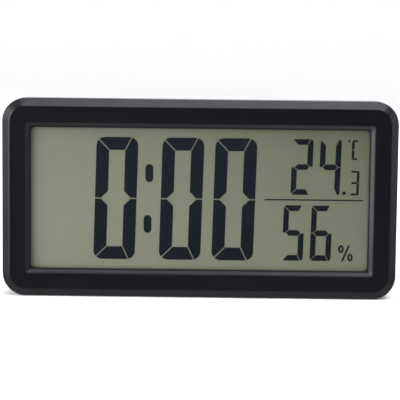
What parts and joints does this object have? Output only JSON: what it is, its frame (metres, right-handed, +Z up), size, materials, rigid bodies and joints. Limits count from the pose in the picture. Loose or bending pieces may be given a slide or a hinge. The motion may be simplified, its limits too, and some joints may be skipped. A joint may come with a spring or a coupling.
{
  "type": "thermometer hygrometer clock",
  "caption": "Desk or wall clock with a large reflective display for time, temperature and humidity in a black bevelled frame, with a fold-out stand.",
  "frame": {"origin": "middle of the footprint, on the surface that the clock stands on", "axes": "the display faces -Y, +X is to the reader's right, +Z is up"},
  "size_m": [0.165, 0.0248, 0.083],
  "materials": {
    "black_plastic": "satin, finely textured",
    "key_plastic": "satin",
    "gasket_tape": "matt foam tape",
    "clear_lens": "clear, polished",
    "display_film": "matt grey-green film",
    "display_ink": "dark blue-black",
    "display_glass": "clear",
    "reflector_foil": "diffuse foil",
    "zebra_rubber": "matt",
    "bracket_plastic": "as moulded",
    "board_laminate": "solder resist",
    "black_epoxy": "glossy drop",
    "steel_can": "drawn can",
    "capacitor_sleeve": "shrink sleeve",
    "resistor_body": "matt",
    "sensor_case": "as moulded",
    "switch_body": "as moulded",
    "plunger_plastic": "as moulded",
    "cell_sleeve": "printed sleeve without marks",
    "plated_steel": "nickel plate",
    "red_insulation": "limp PVC",
    "black_insulation": "limp PVC",
    "screw_steel": "zinc plate"
  },
  "bodies": {
    "case": {"front_bezel": "black_plastic", "rear_cover": "black_plastic", "lens_gasket": "gasket_tape", "display_lens": "clear_lens", "lcd_polarizer": "display_film", "lcd_segments": "display_ink", "lcd_front_glass": "display_glass", "lcd_rear_glass": "display_glass", "lcd_reflector": "reflector_foil", "elastomer_strip": "zebra_rubber", "display_bracket": "bracket_plastic", "main_board": "board_laminate", "controller_blob": "black_epoxy", "clock_crystal": "steel_can", "board_capacitor": "capacitor_sleeve", "chip_resistors": "resistor_body", "humidity_sensor": "sensor_case", "temperature_sensor": "black_epoxy", "key_switches": "switch_body", "battery_upper": "cell_sleeve", "battery_lower": "cell_sleeve", "contact_bridge": "plated_steel", "contact_positive": "plated_steel", "contact_negative": "plated_steel", "lead_red": "red_insulation", "lead_black": "black_insulation", "stand_pin": "screw_steel", "case_screws": "screw_steel", "bracket_screws": "screw_steel", "board_screws": "screw_steel"},
    "battery_door": {"battery_door": "black_plastic"},
    "support_stand": {"support_stand": "black_plastic"},
    "mode_key": {"mode_button": "key_plastic", "mode_plunger": "plunger_plastic"},
    "up_key": {"up_button": "key_plastic", "up_plunger": "plunger_plastic"},
    "down_key": {"down_button": "key_plastic", "down_plunger": "plunger_plastic"},
    "unit_key": {"unit_button": "key_plastic", "unit_plunger": "plunger_plastic"}
  },
  "joints": [
    {"name": "battery_door_hinge", "type": "hinge", "parent": "case", "child": "battery_door", "pos_m": [0, 0.0116, 0.05165], "axis": [-1, 0, 0], "range_deg": [0, 60]},
    {"name": "stand_hinge", "type": "hinge", "parent": "case", "child": "support_stand", "pos_m": [0, 0.0089, 0.0126], "axis": [-1, 0, 0], "range_deg": [0, 105]},
    {"name": "mode_key_press", "type": "slide", "parent": "case", "child": "mode_key", "axis": [0, -1, 0], "range_m": [0, 0.0005], "stiffness_N_per_m": 400, "springref_m": -0.001},
    {"name": "up_key_press", "type": "slide", "parent": "case", "child": "up_key", "axis": [0, -1, 0], "range_m": [0, 0.0005], "stiffness_N_per_m": 400, "springref_m": -0.001},
    {"name": "down_key_press", "type": "slide", "parent": "case", "child": "down_key", "axis": [0, -1, 0], "range_m": [0, 0.0005], "stiffness_N_per_m": 400, "springref_m": -0.001},
    {"name": "unit_key_press", "type": "slide", "parent": "case", "child": "unit_key", "axis": [0, -1, 0], "range_m": [0, 0.0005], "stiffness_N_per_m": 400, "springref_m": -0.001}
  ]
}
